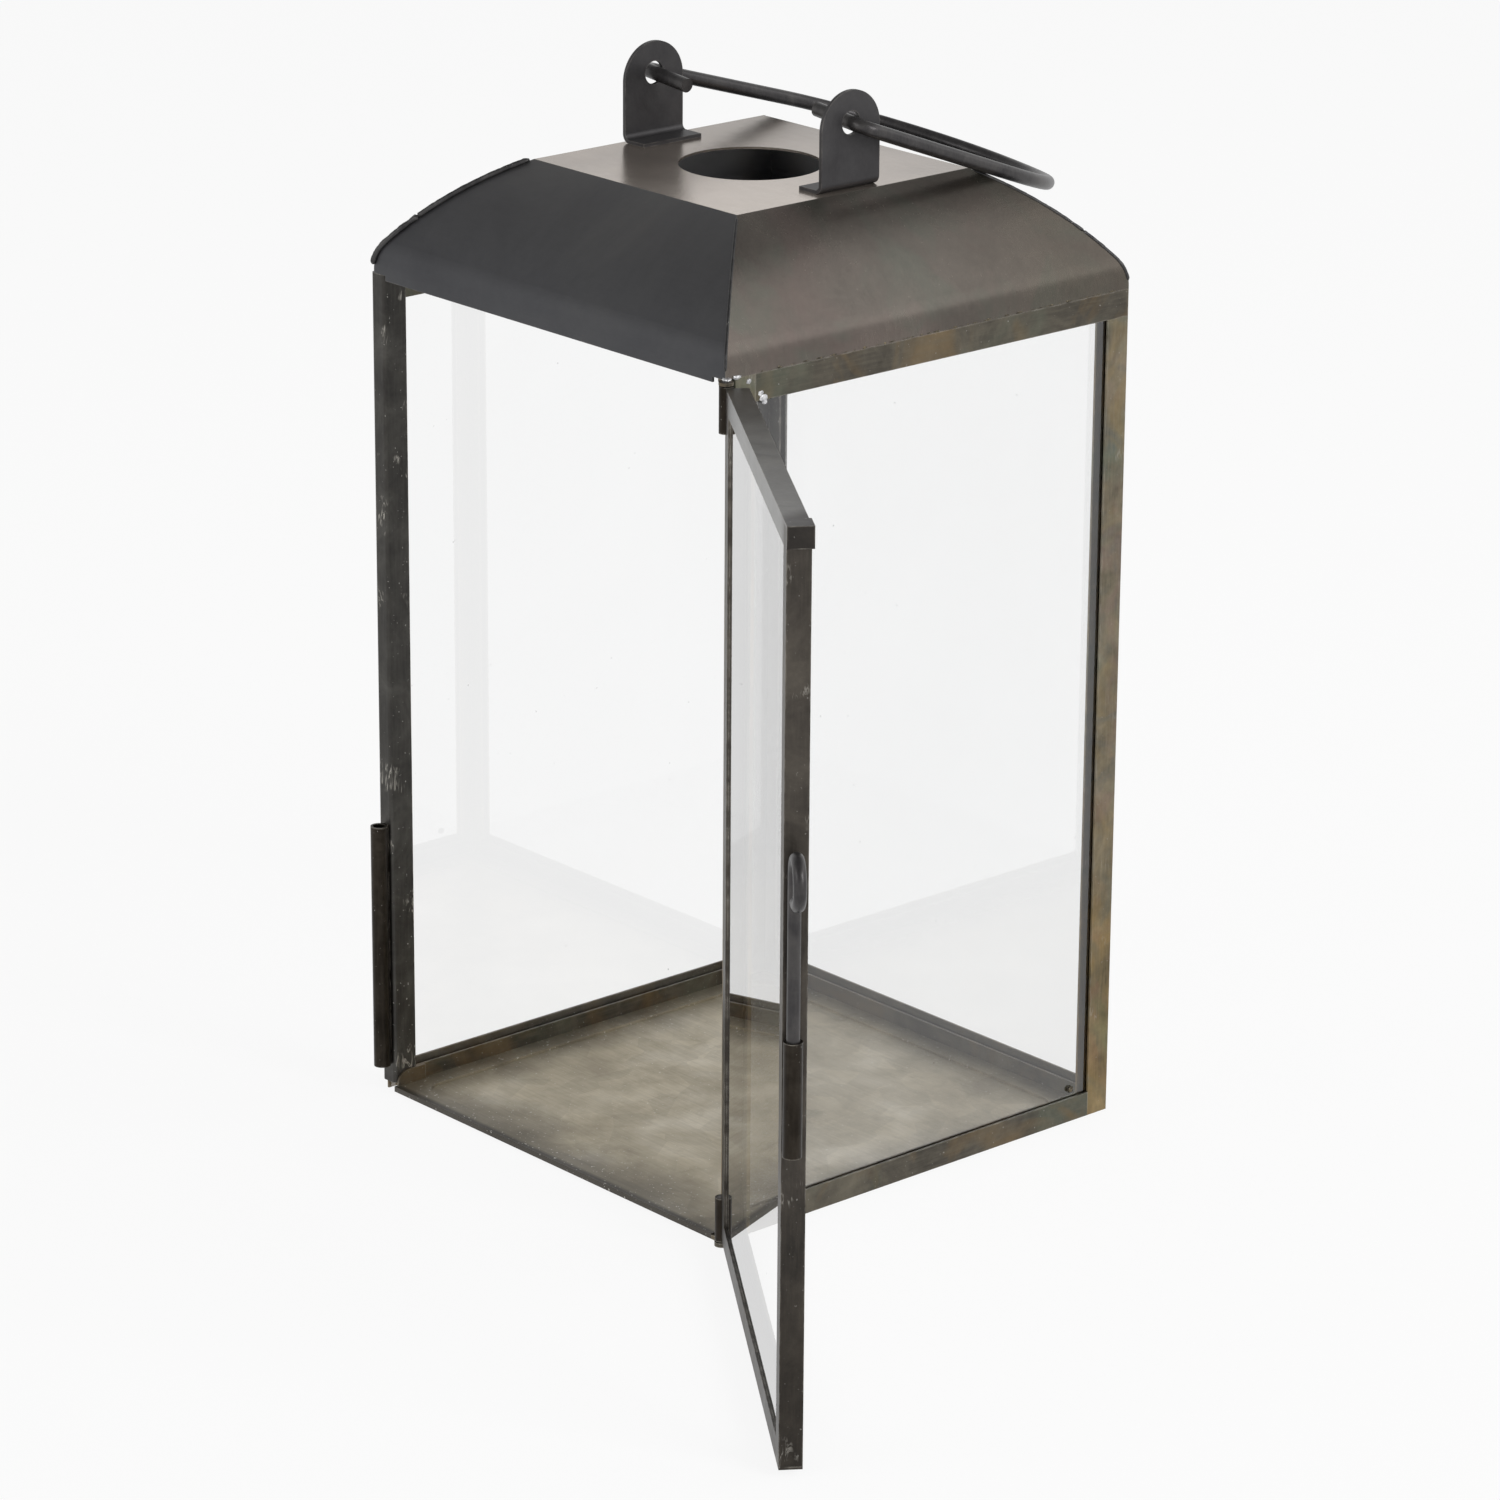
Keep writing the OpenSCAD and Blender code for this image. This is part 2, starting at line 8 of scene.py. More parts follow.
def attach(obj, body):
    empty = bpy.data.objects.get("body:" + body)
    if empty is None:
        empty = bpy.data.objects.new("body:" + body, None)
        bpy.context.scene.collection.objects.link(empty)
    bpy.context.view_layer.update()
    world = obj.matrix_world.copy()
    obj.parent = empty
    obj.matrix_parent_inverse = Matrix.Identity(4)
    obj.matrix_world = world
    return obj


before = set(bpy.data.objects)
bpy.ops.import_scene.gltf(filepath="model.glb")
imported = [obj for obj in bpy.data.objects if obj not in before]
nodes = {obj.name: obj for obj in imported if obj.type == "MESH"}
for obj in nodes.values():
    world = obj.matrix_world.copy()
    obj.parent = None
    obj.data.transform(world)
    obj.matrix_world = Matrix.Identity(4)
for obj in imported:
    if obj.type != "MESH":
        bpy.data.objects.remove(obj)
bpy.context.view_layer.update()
scene = bpy.context.scene
scene.view_settings.view_transform = "Standard"
MM = 0.001


# ---------------------------------------------------------------- shader helpers


class Shader:
    """One node material. Its patterns run in the object's own coordinates, in metres."""

    def __init__(self, name):
        self.mat = bpy.data.materials.new(name)
        self.mat.use_nodes = True
        self.tree = self.mat.node_tree
        self.tree.nodes.clear()
        self.out = self.add("ShaderNodeOutputMaterial")
        self.place = self.add("ShaderNodeTexCoord").outputs["Object"]

    def add(self, kind, **settings):
        node = self.tree.nodes.new(kind)
        for key, value in settings.items():
            setattr(node, key, value)
        return node

    def put(self, socket, value):
        """Links the socket to another one, or sets it to a number, vector or colour."""
        if isinstance(value, bpy.types.NodeSocket):
            self.tree.links.new(value, socket)
        elif socket.type == "RGBA":
            socket.default_value = (*value, 1.0)
        else:
            socket.default_value = value

    def fill(self, node, **sockets):
        """Puts a value on each of the node's sockets that is named, with _ for a space."""
        for key, value in sockets.items():
            self.put(node.inputs[key.replace("_", " ")], value)
        return node

    def noise(self, scale, stretch=(1, 1, 1), detail=4.0, rough=0.55, warp=0.0, shift=0.0, turn=0.0):
        """Noise of so many cells per metre, drawn out along an axis whose stretch is below 1.

        shift picks another part of the pattern, and turn is in degrees about Z.
        """
        mapping = self.fill(self.add("ShaderNodeMapping"), Vector=self.place, Scale=stretch,
                            Location=(shift, shift * 0.7, shift * 1.3),
                            Rotation=(0, 0, math.radians(turn)))
        node = self.fill(self.add("ShaderNodeTexNoise"), Vector=mapping.outputs["Vector"],
                         Scale=scale, Detail=detail, Roughness=rough, Distortion=warp)
        return node.outputs["Fac"]

    def ramp(self, fac, *stops):
        """Each stop is a place from 0 to 1 and a colour, or a number for a grey."""
        node = self.add("ShaderNodeValToRGB")
        points = node.color_ramp.elements
        while len(points) < len(stops):
            points.new(0.5)
        for point, (at, colour) in zip(points, stops):
            point.position = at
            point.color = (*(colour if isinstance(colour, tuple) else (colour,) * 3), 1.0)
        self.put(node.inputs["Fac"], fac)
        return node.outputs["Color"]

    def remap(self, value, low, high, at_low, at_high):
        """at_low up to low, at_high from high on, a straight line between; low may exceed high."""
        node = self.fill(self.add("ShaderNodeMapRange"), Value=value, From_Min=low, From_Max=high,
                         To_Min=at_low, To_Max=at_high)
        return node.outputs["Result"]

    def step(self, fac, low, high):
        return self.remap(fac, low, high, 0.0, 1.0)

    def mix(self, fac, a, b, blend="MIX"):
        node = self.add("ShaderNodeMix", data_type="RGBA", blend_type=blend)
        # The node has sockets for every type of data; these are the ones for colours
        for index, value in ((0, fac), (6, a), (7, b)):
            self.put(node.inputs[index], value)
        return node.outputs[2]

    def calc(self, operation, a, b=0.0):
        node = self.add("ShaderNodeMath", operation=operation)
        self.put(node.inputs[0], a)
        self.put(node.inputs[1], b)
        return node.outputs[0]

    def times(self, a, b):
        return self.calc("MULTIPLY", a, b)

    def lay(self, colour, over, mask, strength):
        """The colour with another laid over it where the mask is 1, as strongly as strength."""
        return self.mix(self.times(mask, strength), colour, over)

    def axis(self, name):
        node = self.fill(self.add("ShaderNodeSeparateXYZ"), Vector=self.place)
        return node.outputs[name]

    def bump(self, height, distance, strength, after=None):
        node = self.fill(self.add("ShaderNodeBump"), Height=height, Distance=distance,
                         Strength=strength)
        if after is not None:
            self.put(node.inputs["Normal"], after)
        return node.outputs["Normal"]

    def edges(self, radius):
        """1 along the sheet's edges and folds, 0 on its flats."""
        bevel = self.fill(self.add("ShaderNodeBevel", samples=4), Radius=radius)
        geometry = self.add("ShaderNodeNewGeometry")
        dot = self.add("ShaderNodeVectorMath", operation="DOT_PRODUCT")
        self.put(dot.inputs[0], bevel.outputs["Normal"])
        self.put(dot.inputs[1], geometry.outputs["Normal"])
        return self.step(dot.outputs["Value"], 0.995, 0.88)

    def blend(self, fac, first, second):
        """The first shader where fac is 0 and the second where it is 1."""
        node = self.add("ShaderNodeMixShader")
        for socket, value in zip(node.inputs, (fac, first.outputs[0], second.outputs[0])):
            self.put(socket, value)
        return node

    def surface(self, shader):
        self.put(self.out.inputs["Surface"], shader.outputs[0])
        return self.mat

    def principled(self, **sockets):
        return self.surface(self.fill(self.add("ShaderNodeBsdfPrincipled"), **sockets))


# Cells per metre of the patterns on blackened metal
CLOUDS, CLOUDS_APART = 24, 17
STREAKS = 1500
MOTTLE = 420
RUBBED_AND_HIGHLIT = 260
SPECKS = 1500
HAIRS, HAIR_PATCHES = 300, 60

# The colour of worn edges, which is also a painted highlight along them
WORN_EDGE_HIGHLIGHT_COLOUR = (0.42, 0.39, 0.34)
SPECK_COLOUR = (0.55, 0.53, 0.5)
HAIR_COLOUR = (0.4, 0.38, 0.34)
WORN_EDGE_HIGHLIGHT_RADIUS = 0.5 * MM


def patina_and_painted_light(name, dark, mid, light, patch, rough, wear_and_highlight, tints=(), grain=(1, 1, 0.08), metallic=0.8,
              shift=0.0, specks=0.0, scratches=0.0, streaks=0.35, mottled=0.35, fades=()):
    """Blackened sheet metal: blotches, brush streaks, clouds, worn edges, specks and scratches, with
    painted light: a painted highlight along the worn edges, and painted shade in some fades.

    patch is the blotches' scale and rough the range of roughness. Each of tints is a colour and
    its strength. Each of fades is (axis, start, end, shade): from end on, in metres, the colour
    is multiplied by shade. wear, specks, scratches, streaks and mottled are strengths, 0 to 1;
    wear also sets the painted highlight on the worn edges.
    """
    s = Shader(name)
    blotch = s.noise(patch, detail=6, rough=0.62, warp=0.6, shift=shift)
    colour = s.ramp(blotch, (0.32, dark), (0.5, mid), (0.7, light))
    for i, (tint, strength) in enumerate(tints):
        cloud = s.noise(CLOUDS + CLOUDS_APART * i, detail=3, warp=1.2, shift=shift + 3.1 * (i + 1))
        colour = s.lay(colour, tint, s.step(cloud, 0.5, 0.66), strength)
    streak = s.noise(STREAKS, stretch=grain, detail=2, rough=0.5, shift=shift)
    colour = s.lay(colour, light, s.step(streak, 0.42, 0.75), streaks)
    mottle = s.noise(MOTTLE, detail=4, rough=0.7, shift=shift + 1)
    colour = s.mix(mottled, colour, s.ramp(mottle, (0.3, 0.5), (0.7, 1.0)), "MULTIPLY")
    # Fades along an axis; on the flat top and the right roof panel they are painted shade
    for axis, start, end, shade in fades:
        shaded = s.mix(1.0, colour, shade, "MULTIPLY")
        colour = s.mix(s.step(s.axis(axis), start, end), colour, shaded)
    # Worn edges: bare metal along the edges and folds, in a light colour that is also a painted
    # highlight
    if wear_and_highlight:
        rubbed_and_highlit = s.step(s.noise(RUBBED_AND_HIGHLIT, detail=3, shift=shift + 2), 0.38, 0.62)
        colour = s.lay(colour, WORN_EDGE_HIGHLIGHT_COLOUR, s.times(s.edges(WORN_EDGE_HIGHLIGHT_RADIUS), rubbed_and_highlit), wear_and_highlight)
    if specks:
        speck = s.step(s.noise(SPECKS, detail=1, rough=0.4, shift=shift + 5), 0.75, 0.79)
        colour = s.lay(colour, SPECK_COLOUR, speck, specks)
    if scratches:
        hair = s.noise(HAIRS, stretch=(1, 1, 0.16), detail=3, rough=0.6, warp=2.5, shift=shift + 8)
        hair = s.step(s.calc("ABSOLUTE", s.calc("SUBTRACT", hair, 0.5)), 0.03, 0.01)
        where = s.step(s.noise(HAIR_PATCHES, detail=3, rough=0.7, shift=shift + 9), 0.59, 0.64)
        colour = s.lay(colour, HAIR_COLOUR, s.times(hair, where), scratches)
    polish = s.calc("ADD", s.times(blotch, 0.6), s.times(streak, 0.4))
    normal = s.bump(streak, 0.02 * MM, 0.5)
    normal = s.bump(blotch, 0.5 * MM, 0.35, normal)
    return s.principled(Base_Color=colour, Metallic=metallic, Normal=normal,
                        Roughness=s.remap(polish, 0.3, 0.7, *rough))


# ---------------------------------------------------------------- materials

roof_black = patina_and_painted_light(
    "roof_blackened", (0.062, 0.061, 0.064), (0.076, 0.075, 0.077), (0.092, 0.09, 0.089),
    grain=(0.06, 1, 1), metallic=0.7, rough=(0.34, 0.42), wear_and_highlight=0.25, patch=18, streaks=0.15,
    mottled=0.12, fades=[("Z", 0.256, 0.234, (0.76, 0.78, 0.82))])
# Painted sheen: the right panel is coloured lighter and browner than the other panels, for the light on
# this side, while its brushing is its own; painted shade darkens its back half
roof_brown_painted_sheen = patina_and_painted_light(
    "roof_brushed_painted_sheen", (0.1, 0.087, 0.076), (0.13, 0.114, 0.099), (0.165, 0.146, 0.124),
    tints=(((0.15, 0.11, 0.1), 0.4), ((0.105, 0.12, 0.097), 0.4)), grain=(0.9, 1, 0.05),
    rough=(0.22, 0.3), wear_and_highlight=0.3, patch=20, shift=4, streaks=0.3, mottled=0.2,
    fades=[("Y", 0.0, 0.05, (0.72, 0.7, 0.67))])
# Painted sheen: the flat top is coloured far lighter than the other panels, for the light it mirrors;
# painted shade darkens it toward the back and toward the left
top_satin_painted_sheen = patina_and_painted_light(
    "top_satin_painted_sheen", (0.43, 0.374, 0.326), (0.51, 0.445, 0.388), (0.58, 0.51, 0.45),
    grain=(0.08, 1, 1), rough=(0.2, 0.27), wear_and_highlight=0.2, patch=24, shift=7, streaks=0.2, mottled=0.12,
    fades=[("Y", -0.01, 0.04, (0.68, 0.68, 0.68)), ("X", 0.02, -0.03, (0.66, 0.64, 0.62))])
ear_black = patina_and_painted_light(
    "ear_blackened", (0.034, 0.032, 0.034), (0.047, 0.045, 0.047), (0.064, 0.061, 0.062),
    grain=(1, 1, 0.2), metallic=0.55, rough=(0.4, 0.5), wear_and_highlight=0.25, patch=50, shift=9, streaks=0.2,
    mottled=0.25)
seam_black = patina_and_painted_light(
    "hip_seam", (0.03, 0.03, 0.032), (0.05, 0.049, 0.05), (0.09, 0.088, 0.086),
    rough=(0.34, 0.5), wear_and_highlight=0.0, patch=160, shift=47, specks=0.4)
wire_black = patina_and_painted_light(
    "wire_blackened", (0.034, 0.032, 0.034), (0.052, 0.049, 0.05), (0.085, 0.08, 0.077),
    metallic=0.65, rough=(0.3, 0.4), wear_and_highlight=0.0, patch=90, shift=12)
post_dark = patina_and_painted_light(
    "post_dark", (0.033, 0.031, 0.029), (0.055, 0.052, 0.047), (0.1, 0.096, 0.087),
    rough=(0.34, 0.5), wear_and_highlight=0.6, patch=60, shift=15, specks=0.8, scratches=0.9)
door_dark = patina_and_painted_light(
    "door_dark", (0.04, 0.036, 0.031), (0.062, 0.054, 0.046), (0.105, 0.092, 0.076),
    rough=(0.34, 0.5), wear_and_highlight=0.5, patch=50, shift=19, specks=0.3, scratches=0.4,
    fades=[("Z", 0.09, 0.03, (0.55, 0.54, 0.53))])
door_grey = patina_and_painted_light(
    "door_grey", (0.12, 0.118, 0.111), (0.165, 0.162, 0.154), (0.22, 0.215, 0.2),
    grain=(0.08, 0.08, 1), rough=(0.26, 0.36), wear_and_highlight=0.5, patch=50, shift=41, specks=0.4,
    fades=[("X", 0.172, 0.178, (0.2, 0.18, 0.17)), ("X", 0.1, 0.076, (0.6, 0.6, 0.6))])
tube_dark = patina_and_painted_light(
    "tube_dark", (0.018, 0.015, 0.012), (0.03, 0.025, 0.02), (0.055, 0.047, 0.038),
    metallic=1.0, rough=(0.36, 0.5), wear_and_highlight=0.7, patch=80, shift=44, specks=0.4)
frame_patina = patina_and_painted_light(
    "frame_patina", (0.09, 0.08, 0.058), (0.17, 0.145, 0.1), (0.28, 0.24, 0.17),
    tints=(((0.16, 0.19, 0.14), 0.65), ((0.27, 0.2, 0.1), 0.6), ((0.22, 0.15, 0.13), 0.45),
           ((0.1, 0.12, 0.12), 0.4)),
    rough=(0.3, 0.46), wear_and_highlight=0.5, patch=55, shift=23, specks=0.35, scratches=0.35,
    fades=[("Z", 0.1, 0.03, (1.15, 1.0, 0.72))])
rail_dark = patina_and_painted_light(
    "rail_patina", (0.052, 0.046, 0.037), (0.088, 0.078, 0.062), (0.16, 0.143, 0.108),
    tints=(((0.12, 0.135, 0.1), 0.5), ((0.2, 0.135, 0.065), 0.55)), grain=(0.08, 0.08, 1),
    rough=(0.32, 0.48), wear_and_highlight=0.5, patch=50, shift=29, specks=0.5)

# How far out from the tray's middle, in metres, its rim darkens, and where the painted shade on its
# raised lip starts and ends
RIM_STARTS, RIM_ENDS = 0.048, 0.067
LIP_STARTS, LIP_ENDS = 0.0676, 0.069
BRUSHED_AT = 35


def zinc(name):
    """The tray's galvanised sheet: clouds, spangle, stains, a dark rim, brush lines and dust."""
    s = Shader(name)
    cloud = s.noise(30, detail=7, rough=0.62, warp=0.25)
    colour = s.ramp(cloud, (0.3, (0.38, 0.33, 0.24)), (0.48, (0.53, 0.47, 0.35)),
                    (0.66, (0.68, 0.62, 0.5)))
    flower = s.fill(s.add("ShaderNodeTexVoronoi", feature="F1"), Vector=s.place, Scale=105)
    facet = s.add("ShaderNodeSeparateColor")
    s.put(facet.inputs[0], flower.outputs["Color"])
    colour = s.mix(0.3, colour, s.ramp(facet.outputs[0], (0.2, 0.62), (0.8, 1.0)), "MULTIPLY")
    stain = s.step(s.noise(80, detail=6, rough=0.7, warp=0.4, shift=2), 0.56, 0.7)
    colour = s.lay(colour, (0.26, 0.215, 0.15), stain, 0.35)
    # The metal is darker toward the rails, where the flux ran
    from_middle = s.calc("MAXIMUM", s.calc("ABSOLUTE", s.axis("X")), s.calc("ABSOLUTE", s.axis("Y")))
    wobble = s.times(s.calc("SUBTRACT", s.noise(45, detail=5, shift=6), 0.5), 0.03)
    rim = s.step(s.calc("ADD", from_middle, wobble), RIM_STARTS, RIM_ENDS)
    colour = s.lay(colour, (0.13, 0.115, 0.09), rim, 0.75)
    # Painted shade: the tray's outer edge, round its lip, is coloured nearly black
    lip = s.step(from_middle, LIP_STARTS, LIP_ENDS)
    colour = s.lay(colour, (0.05, 0.045, 0.04), lip, 0.85)
    fine = s.noise(1600, stretch=(0.05, 1, 1), detail=2, rough=0.5, turn=BRUSHED_AT)
    colour = s.mix(0.25, colour, s.ramp(fine, (0.35, 0.6), (0.65, 1.0)), "MULTIPLY")
    # Dust lies everywhere, and thicker toward the rails
    dust = s.calc("ADD", s.noise(1100, detail=1, shift=8), s.times(rim, 0.035))
    colour = s.lay(colour, (0.75, 0.73, 0.68), s.step(dust, 0.72, 0.76), 0.6)
    normal = s.bump(fine, 0.02 * MM, 0.5)
    normal = s.bump(cloud, 0.3 * MM, 0.2, normal)
    return s.principled(Base_Color=colour, Metallic=0.7, Normal=normal,
                        Roughness=s.remap(cloud, 0.3, 0.7, 0.5, 0.36))


def tin(name, dark, mid, light):
    """Solder: lumpy metal that is darker in its hollows."""
    s = Shader(name)
    lump = s.noise(700, detail=5, rough=0.65)
    return s.principled(Base_Color=s.ramp(lump, (0.35, dark), (0.52, mid), (0.66, light)),
                        Metallic=0.85, Roughness=0.32, Normal=s.bump(lump, 0.3 * MM, 0.8))


GLASS_IOR = 1.5
SMEAR = 0.012


def window_glass(name, tint, dust):
    """A clear pane: what is behind it, under the mirror of its front face and some dust."""
    s = Shader(name)
    smear = s.noise(9, detail=5, rough=0.6, warp=1.0)
    smeared = tuple(min(1.0, c + SMEAR) for c in tint)
    clear = s.fill(s.add("ShaderNodeBsdfTransparent"), Color=s.ramp(smear, (0.3, tint), (0.7, smeared)))
    mirror = s.fill(s.add("ShaderNodeBsdfGlossy"), Color=(1, 1, 1), Roughness=0.0)
    # Both faces of the real pane mirror: 2F / (1 + F) of the light comes back
    one_face = s.fill(s.add("ShaderNodeFresnel"), IOR=GLASS_IOR).outputs[0]
    both_faces = s.calc("DIVIDE", s.times(one_face, 2.0), s.calc("ADD", one_face, 1.0))
    speck = s.step(s.noise(420, detail=2, rough=0.6, shift=3), 0.75, 0.8)
    film = s.fill(s.add("ShaderNodeBsdfDiffuse"), Color=(0.5, 0.5, 0.48))
    dusty = s.blend(s.times(speck, dust), s.blend(both_faces, clear, mirror), film)
    # The light leaves through the back face unchanged, so the two faces don't count twice
    backfacing = s.add("ShaderNodeNewGeometry").outputs["Backfacing"]
    return s.surface(s.blend(backfacing, dusty, s.add("ShaderNodeBsdfTransparent")))


tray_zinc = zinc("tray_zinc")
solder_bright = tin("solder_bright", (0.3, 0.3, 0.31), (0.6, 0.6, 0.61), (0.88, 0.88, 0.88))
solder_bronze = tin("solder_bronze", (0.03, 0.026, 0.02), (0.08, 0.068, 0.048), (0.26, 0.21, 0.13))
pane_glass = window_glass("pane_glass", (0.955, 0.957, 0.957), 0.35)

finish_of = {
    "base_tray": tray_zinc,
    "roof_panel_front": roof_black, "roof_panel_back": roof_black, "roof_panel_left": roof_black,
    "roof_panel_right": roof_brown_painted_sheen, "roof_top": top_satin_painted_sheen,
    "ear_left": ear_black, "ear_right": ear_black, "bail_handle": wire_black, "latch_pin": wire_black,
    "post_front_left": post_dark, "post_back_left": post_dark, "keeper_tube": tube_dark,
    "post_front_right": frame_patina, "post_back_right": frame_patina,
    "rail_top_right": rail_dark, "rail_top_back": rail_dark, "rail_top_left": rail_dark,
    "rail_bottom_right": rail_dark, "rail_bottom_back": rail_dark, "rail_bottom_left": rail_dark,
    "hinge_lug_bottom": rail_dark, "hinge_lug_top": rail_dark,
    "hinge_pin_bottom": wire_black, "hinge_pin_top": wire_black,
    "hinge_knuckle_bottom": tube_dark, "hinge_knuckle_top": tube_dark, "latch_tube": tube_dark,
    "door_stile_hinge": door_dark, "door_stile_free": door_dark,
    "door_rail_top": door_grey, "door_rail_bottom": door_dark,
    "glass_left": pane_glass, "glass_back": pane_glass, "glass_right": pane_glass,
    "door_glass": pane_glass,
}
for name, material in finish_of.items():
    mesh = nodes[name].data
    mesh.materials.clear()
    mesh.materials.append(material)


# ---------------------------------------------------------------- solder and laps, in mm

SEAM_SIDES = 8
SEAM_PITCH = 0.7
DENT_DEPTH, DENT_SCALE = 0.28, 1.7


def finish_mesh(name, bm, material, body):
    mesh = bpy.data.meshes.new(name)
    bmesh.ops.recalc_face_normals(bm, faces=bm.faces)
    bm.to_mesh(mesh)
    bm.free()
    for face in mesh.polygons:
        face.use_smooth = True
    mesh.materials.append(material)
    piece = bpy.data.objects.new(name, mesh)
    scene.collection.objects.link(piece)
    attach(piece, body)


def add_blob(bm, centre, size, seed):
    """A lump of solder: a ball, squashed to these half sizes and dented."""
    made = bmesh.ops.create_icosphere(bm, subdivisions=3, radius=1.0)
    for vertex in made["verts"]:
        way = vertex.co.normalized()
        dent = 1 + DENT_DEPTH * noise.noise(way * DENT_SCALE + Vector((seed, 0, 0)))
        vertex.co = Vector(centre) * MM + Vector([w * s * MM * dent for w, s in zip(way, size)])


def add_seam(bm, points, radius, seed, wild=0.55):
    """A run of solder along a path: a thin tube whose thickness wanders, more so when wild."""
    path = []
    for a, b in zip(points, points[1:]):
        a, b = Vector(a), Vector(b)
        count = max(2, int((b - a).length / SEAM_PITCH))
        path += [a.lerp(b, i / count) for i in range(count)]
    path.append(Vector(points[-1]))
    rings = []
    for i, at in enumerate(path):
        way = (path[min(i + 1, len(path) - 1)] - path[max(i - 1, 0)]).normalized()
        u = way.orthogonal().normalized()
        v = way.cross(u)
        # A slow swell and a quick ripple, and both ends taper off
        wander = 1 + wild * noise.noise(Vector((i * SEAM_PITCH * 0.45, seed, 0)))
        wander *= 1 + 0.55 * wild * noise.noise(Vector((i * SEAM_PITCH * 1.6, seed, 7)))
        taper = min(1, 0.35 + 0.4 * min(i, len(path) - 1 - i))
        r = radius * wander * taper
        ring = []
        for k in range(SEAM_SIDES):
            turn = 2 * math.pi * k / SEAM_SIDES
            ring.append(bm.verts.new((at + (u * math.cos(turn) + v * math.sin(turn)) * r) * MM))
        rings.append(ring)
    for a, b in zip(rings, rings[1:]):
        for k in range(SEAM_SIDES):
            after = (k + 1) % SEAM_SIDES
            bm.faces.new((a[k], a[after], b[after], b[k]))
    bm.faces.new(rings[0])
    bm.faces.new(rings[-1])


# The roof panels' profile is two arcs: centre out from the axis, centre height, radius, and the
# angles that a hip's seam starts and ends at
ROOF_ARCS = ((-0.254, 186.487, 85.925, 61.5, 38.0), (58, 232, 12, 34.0, 6.0))
ARC_STEPS = 8


def hip_line(side_x, side_y, proud):
    """Points down a hip of the roof, from the flat top to the eaves, so far proud of it."""
    points = []
    for out, height, radius, start, end in ROOF_ARCS:
        for i in range(ARC_STEPS + 1):
            turn = math.radians(start + (end - start) * i / ARC_STEPS)
            at = out + (radius + proud) * math.cos(turn)
            points.append((side_x * at, side_y * at, height + (radius + proud) * math.sin(turn)))
    return points


# Bright solder at the front right corner, under the eaves: centre and half sizes
BEADS = (
    ((69.7, -69.4, 231.0), (1.3, 1.1, 0.7)),
    ((69.9, -66.2, 231.2), (0.7, 1.5, 0.6)),
    ((69.9, -62.3, 229.4), (0.5, 0.8, 0.7)),
    ((69.9, -58.2, 225.6), (0.25, 1.0, 0.8)),
    ((69.9, -57.2, 224.4), (0.3, 1.5, 0.9)),
    ((69.9, -56.9, 223.3), (0.25, 0.8, 0.7)),
)
beads = bmesh.new()
for seed, (centre, size) in enumerate(BEADS, start=1):
    add_blob(beads, centre, size, seed)
finish_mesh("solder_beads", beads, solder_bright, "body")

# Dull solder: a blob low beside the back right post, and a run along the eaves of each side
EAVE_OUT, EAVE_Z = 69.6, 231.3
eaves = bmesh.new()
add_blob(eaves, (69.5, 56.4, 9.2), (0.6, 1.1, 0.9), seed=7)
add_seam(eaves, [(EAVE_OUT, y, EAVE_Z) for y in (-60, 20, 68)], radius=0.42, seed=11, wild=0.6)
add_seam(eaves, [(66, -EAVE_OUT, EAVE_Z), (0, -EAVE_OUT, EAVE_Z + 0.1), (-66, -EAVE_OUT, EAVE_Z)],
         radius=0.3, seed=12)
add_seam(eaves, [(-EAVE_OUT, y, EAVE_Z) for y in (-66, 66)], radius=0.45, seed=13)
add_seam(eaves, [(x, EAVE_OUT, EAVE_Z) for x in (-66, 66)], radius=0.45, seed=14)
finish_mesh("solder_eaves", eaves, solder_bronze, "body")

# The front panel's edge laps over the left one and shows as a thick dark seam
hips = bmesh.new()
add_seam(hips, hip_line(-1, -1, proud=0.25), radius=0.85, seed=21, wild=0.22)
# The other hips are filed smooth
add_seam(hips, hip_line(1, -1, proud=-0.15), radius=0.4, seed=22, wild=0.2)
add_seam(hips, hip_line(1, 1, proud=-0.1), radius=0.5, seed=23, wild=0.25)
add_seam(hips, hip_line(-1, 1, proud=-0.1), radius=0.5, seed=24, wild=0.25)
finish_mesh("hip_seams", hips, seam_black, "body")


# ---------------------------------------------------------------- stage, light and camera

PAPER_WHITE = 0.9
PAPER_GLOW = 0.88
FLOOR_HALF = 9
SKY_STRENGTH = 0.95
# The world's grey by the sine of the height above the horizon
SKY_STOPS = ((0.3, 1.0), (0.6, 0.52), (0.85, 0.3))
LAMPS_AIM_AT = Vector((0, 0, 0.13))
CAMERA_PLACE = Vector((1.11664, -0.99039, 0.61385))
CAMERA_DEGREES = (48.397, 18.961, 0.388)
LENS, SENSOR = 140.8, 36


def stage_material():
    """White paper: a diffuse floor that camera, metal and glass see nearly white.

    It keeps the lantern's shadow, because only PAPER_GLOW of what they see is its own light.
    """
    s = Shader("stage_white")
    paper = s.fill(s.add("ShaderNodeBsdfDiffuse"), Color=(PAPER_WHITE,) * 3)
    glow = s.fill(s.add("ShaderNodeEmission"), Color=(1, 1, 1), Strength=1.0)
    rays = s.add("ShaderNodeLightPath").outputs
    seen = s.calc("MAXIMUM", rays["Is Camera Ray"], rays["Is Glossy Ray"])
    seen = s.calc("MAXIMUM", seen, rays["Is Transmission Ray"])
    return s.surface(s.blend(s.times(seen, PAPER_GLOW), paper, glow))


corners = [(x * FLOOR_HALF, y * FLOOR_HALF, 0) for x, y in ((-1, -1), (1, -1), (1, 1), (-1, 1))]
floor_mesh = bpy.data.meshes.new("floor")
floor_mesh.from_pydata(corners, [], [(0, 1, 2, 3)])
floor_mesh.materials.append(stage_material())
floor = bpy.data.objects.new("floor", floor_mesh)
scene.collection.objects.link(floor)

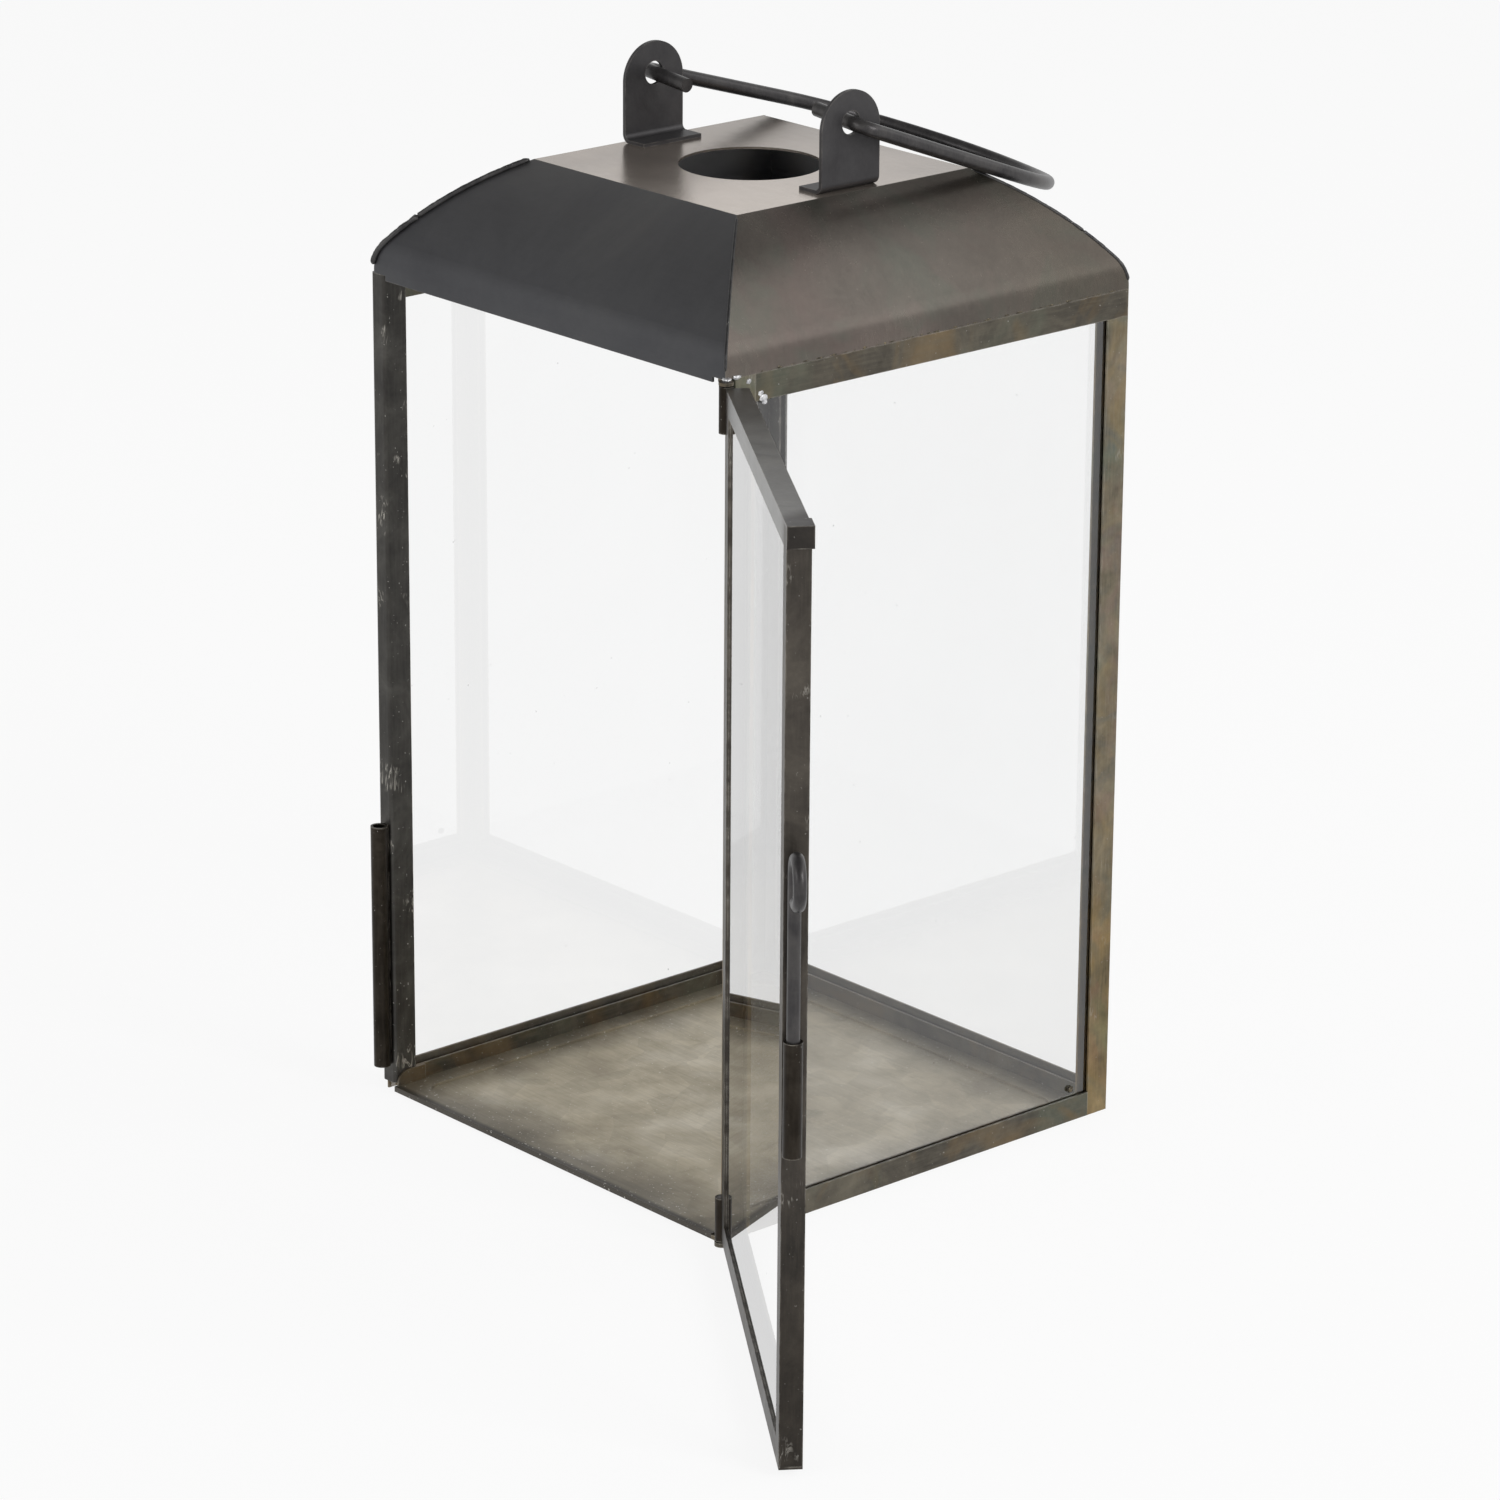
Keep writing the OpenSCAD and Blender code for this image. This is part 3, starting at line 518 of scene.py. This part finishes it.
world = bpy.data.worlds.new("studio")
scene.world = world
world.use_nodes = True
tree = world.node_tree
tree.nodes.clear()
sky = tree.nodes.new("ShaderNodeBackground")
out = tree.nodes.new("ShaderNodeOutputWorld")
coords = tree.nodes.new("ShaderNodeTexCoord")
split = tree.nodes.new("ShaderNodeSeparateXYZ")
ramp = tree.nodes.new("ShaderNodeValToRGB")
tree.links.new(coords.outputs["Generated"], split.inputs[0])
tree.links.new(split.outputs["Z"], ramp.inputs["Fac"])
tree.links.new(ramp.outputs["Color"], sky.inputs["Color"])
tree.links.new(sky.outputs[0], out.inputs[0])
ramp.color_ramp.elements.new(0.5)
for stop, (at, grey) in zip(ramp.color_ramp.elements, SKY_STOPS):
    stop.position = at
    stop.color = (grey, grey, grey, 1)
sky.inputs["Strength"].default_value = SKY_STRENGTH


def softbox(name, at, size, watts):
    data = bpy.data.lights.new(name, "AREA")
    data.shape = "RECTANGLE"
    data.size, data.size_y = size
    data.energy = watts
    lamp = bpy.data.objects.new(name, data)
    lamp.location = at
    lamp.rotation_euler = (LAMPS_AIM_AT - Vector(at)).to_track_quat("-Z", "Y").to_euler()
    scene.collection.objects.link(lamp)


softbox("softbox_right", (1.7, 0.2, 1.2), (0.8, 0.8), watts=13)
softbox("softbox_back", (0.75, 1.15, 1.2), (1.2, 1.0), watts=4)
softbox("softbox_front", (-0.4, -1.9, 1.1), (1.1, 0.8), watts=6)

# The camera stands where the photograph was taken from; the roll is the print's slight lean
azimuth, elevation, roll = (math.radians(a) for a in CAMERA_DEGREES)
back = Vector((math.sin(azimuth) * math.cos(elevation), -math.cos(azimuth) * math.cos(elevation),
               math.sin(elevation)))
level = Vector((math.cos(azimuth), math.sin(azimuth), 0))
above = back.cross(level)
right = math.cos(roll) * level + math.sin(roll) * above
up = -math.sin(roll) * level + math.cos(roll) * above
lens = bpy.data.cameras.new("camera")
lens.lens = LENS
lens.sensor_width = SENSOR
camera = bpy.data.objects.new("camera", lens)
turned = Matrix((right, up, back)).transposed().to_4x4()
camera.matrix_world = Matrix.Translation(CAMERA_PLACE) @ turned
scene.collection.objects.link(camera)
scene.camera = camera

bpy.context.view_layer.update()
